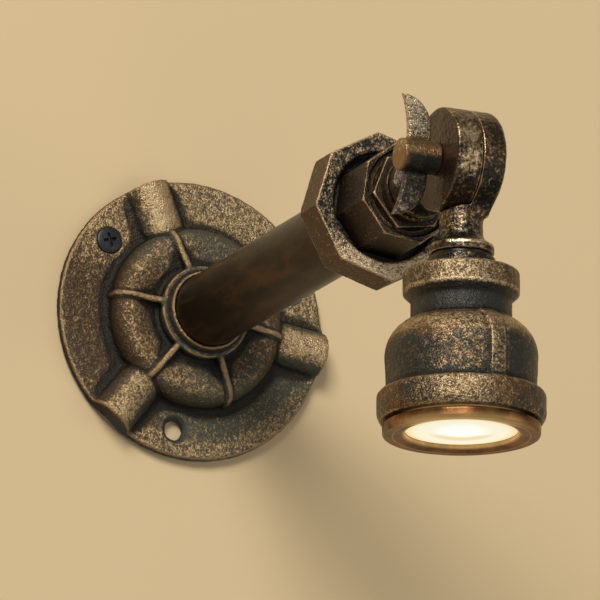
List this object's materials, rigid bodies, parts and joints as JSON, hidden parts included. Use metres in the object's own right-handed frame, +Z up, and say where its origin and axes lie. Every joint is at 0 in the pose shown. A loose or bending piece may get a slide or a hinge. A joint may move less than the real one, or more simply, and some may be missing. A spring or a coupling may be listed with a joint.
{
  "type": "industrial pipe wall light",
  "caption": "Wall light of pipe fittings: cast flange, short pipe, union, clamped knuckle and a bell-shaped lamp head with a diffusing lens.",
  "frame": {"origin": "centre of the flange's back face, on the wall", "axes": "+Z up, -Y out from the wall along the pipe, +X to the right of somebody facing the wall"},
  "size_m": [0.083, 0.2019, 0.1173],
  "materials": {
    "bronze_cast": "antique bronze paint on rough sand casting, rubbed to gold on edges and crests",
    "bronze_pipe": "dark brown bronze, fairly smooth, soft gloss",
    "bronze_smooth": "antique bronze, half smooth, rubbed edges",
    "worn_brass": "worn dark brass",
    "copper_ring": "copper brown, satin",
    "lens": "milky diffusing glass",
    "emitter": "yellow phosphor",
    "reflector": "polished",
    "aluminium": "turned, plain",
    "board": "white solder mask",
    "potting": "black resin",
    "spring_steel": "dark steel",
    "gasket": "matt black",
    "fibre": "red fibre",
    "sheath": "matt black sheath"
  },
  "bodies": {
    "base": {"wall_flange": "bronze_cast", "supply_pipe": "bronze_pipe", "union_thread_end": "bronze_cast", "union_washer": "fibre", "supply_lead": "sheath"},
    "union_nut": {"union_nut": "bronze_cast"},
    "arm": {"union_tail_end": "bronze_cast", "arm_bush": "bronze_cast", "arm_lock_ring": "bronze_smooth", "arm_spring_washer": "spring_steel", "arm_knuckle": "bronze_smooth", "stop_pin": "spring_steel"},
    "head": {"lamp_knuckle": "bronze_smooth", "lamp_spring_washer": "spring_steel", "lamp_lock_ring": "bronze_smooth", "lamp_top_bush": "bronze_cast", "lamp_housing": "bronze_cast", "driver_capsule": "potting", "heat_sink": "aluminium", "led_board": "board", "board_screws": "spring_steel", "led_emitter": "emitter", "reflector": "reflector", "lens": "lens", "lens_gasket": "gasket", "trim_ring": "copper_ring", "lamp_lead": "sheath"},
    "wing_screw": {"wing_screw": "worn_brass"}
  },
  "joints": [
    {"name": "union_nut_turn", "type": "hinge", "parent": "base", "child": "union_nut", "pos_m": [0, -0.1274, 0], "axis": [0, -1, 0], "range_deg": [0, 90]},
    {"name": "arm_roll", "type": "hinge", "parent": "base", "child": "arm", "pos_m": [0, -0.1275, 0], "axis": [0, -1, 0], "range_deg": [-90, 90]},
    {"name": "head_tilt", "type": "hinge", "parent": "arm", "child": "head", "pos_m": [0, -0.1793, 0], "axis": [1, 0, 0], "range_deg": [-120, 35]},
    {"name": "wing_screw_turn", "type": "hinge", "parent": "head", "child": "wing_screw", "pos_m": [0, -0.1793, 0], "axis": [-1, 0, 0], "range_deg": [0, 180]}
  ]
}
